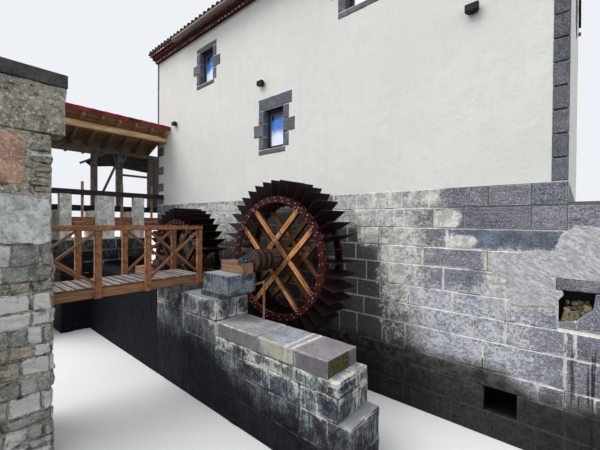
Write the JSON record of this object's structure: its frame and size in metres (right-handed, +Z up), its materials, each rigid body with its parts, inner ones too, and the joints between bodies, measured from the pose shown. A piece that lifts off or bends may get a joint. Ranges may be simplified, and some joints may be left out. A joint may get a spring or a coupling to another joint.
{
  "type": "watermill",
  "caption": "Rendered mill house on a stone base with undershot waterwheels on clasp arms, a race wall, a timber footbridge and a tiled canopy over the sluice.",
  "frame": {"origin": "underside of the front base wall, half way along it and half way through it", "axes": "+X downstream along the front wall, +Y from the front wall into the house, +Z up"},
  "size_m": [14.25, 13.965, 11.0045],
  "materials": {
    "base_stone": "rough ashlar with pale mortar",
    "render": "lime render",
    "dressed_stone": "dressed",
    "race_stone": "rough, mossy at the end",
    "rubble": "rubble and old mortar",
    "dark_paint": "satin",
    "glass": "clear",
    "oak_door": "stained boards",
    "brick": "matt",
    "zinc": "weathered sheet",
    "roof_tile": "matt",
    "floor_board": "plain boards",
    "pale_timber": "sawn",
    "bearing_paint": "dark teal paint",
    "iron": "dark",
    "honey_timber": "oiled",
    "weathered_plank": "weathered",
    "stained_timber": "stained",
    "dark_timber": "dark, wet",
    "old_timber": "weathered",
    "shaft_timber": "dark, wet, iron hoops",
    "oak_arm": "oiled",
    "rusty_iron": "rusted"
  },
  "bodies": {
    "mill": {"front_base_wall": "base_stone", "back_base_wall": "base_stone", "left_base_wall": "base_stone", "right_base_wall": "base_stone", "terrace_wall": "base_stone", "front_wall": "render", "back_wall": "render", "left_gable_wall": "render", "right_gable_wall": "render", "quoins": "dressed_stone", "window_surrounds": "dressed_stone", "window_frames": "dark_paint", "window_glass": "glass", "back_door": "oak_door", "wall_lamps": "dark_paint", "cornices": "brick", "gutters": "zinc", "roof_front_slope": "roof_tile", "roof_back_slope": "roof_tile", "ridge_tiles": "roof_tile", "ground_floor": "floor_board", "upper_floor": "floor_board", "race_wall": "race_stone", "race_coping": "race_stone", "upstream_race_wall": "race_stone", "bearing_pier": "race_stone", "bearing_blocks": "pale_timber", "plummer_blocks": "bearing_paint", "wall_bearings": "iron", "left_bank_wall": "rubble", "bridge_abutment": "rubble", "bridge_beams": "honey_timber", "bridge_deck": "weathered_plank", "near_railing": "stained_timber", "far_railing": "stained_timber", "sluice_piers": "race_stone", "sluice_beams": "dark_timber", "sluice_gates": "dark_timber", "canopy_pier": "rubble", "canopy_beams": "honey_timber", "canopy_posts": "old_timber", "canopy_rafters": "honey_timber", "canopy_roof": "roof_tile"},
    "wheel1": {"wheel1_shaft": "shaft_timber", "wheel1_arms": "oak_arm", "wheel1_rings": "rusty_iron", "wheel1_blades": "rusty_iron"},
    "wheel2": {"wheel2_shaft": "shaft_timber", "wheel2_arms": "oak_arm", "wheel2_rings": "rusty_iron", "wheel2_blades": "rusty_iron"}
  },
  "joints": [
    {"name": "wheel1_turn", "type": "hinge", "parent": "mill", "child": "wheel1", "pos_m": [1.55, -1.29, 2.58], "axis": [0, 1, 0], "continuous": true},
    {"name": "wheel2_turn", "type": "hinge", "parent": "mill", "child": "wheel2", "pos_m": [-2.26, -1.29, 2.115], "axis": [0, 1, 0], "continuous": true}
  ]
}
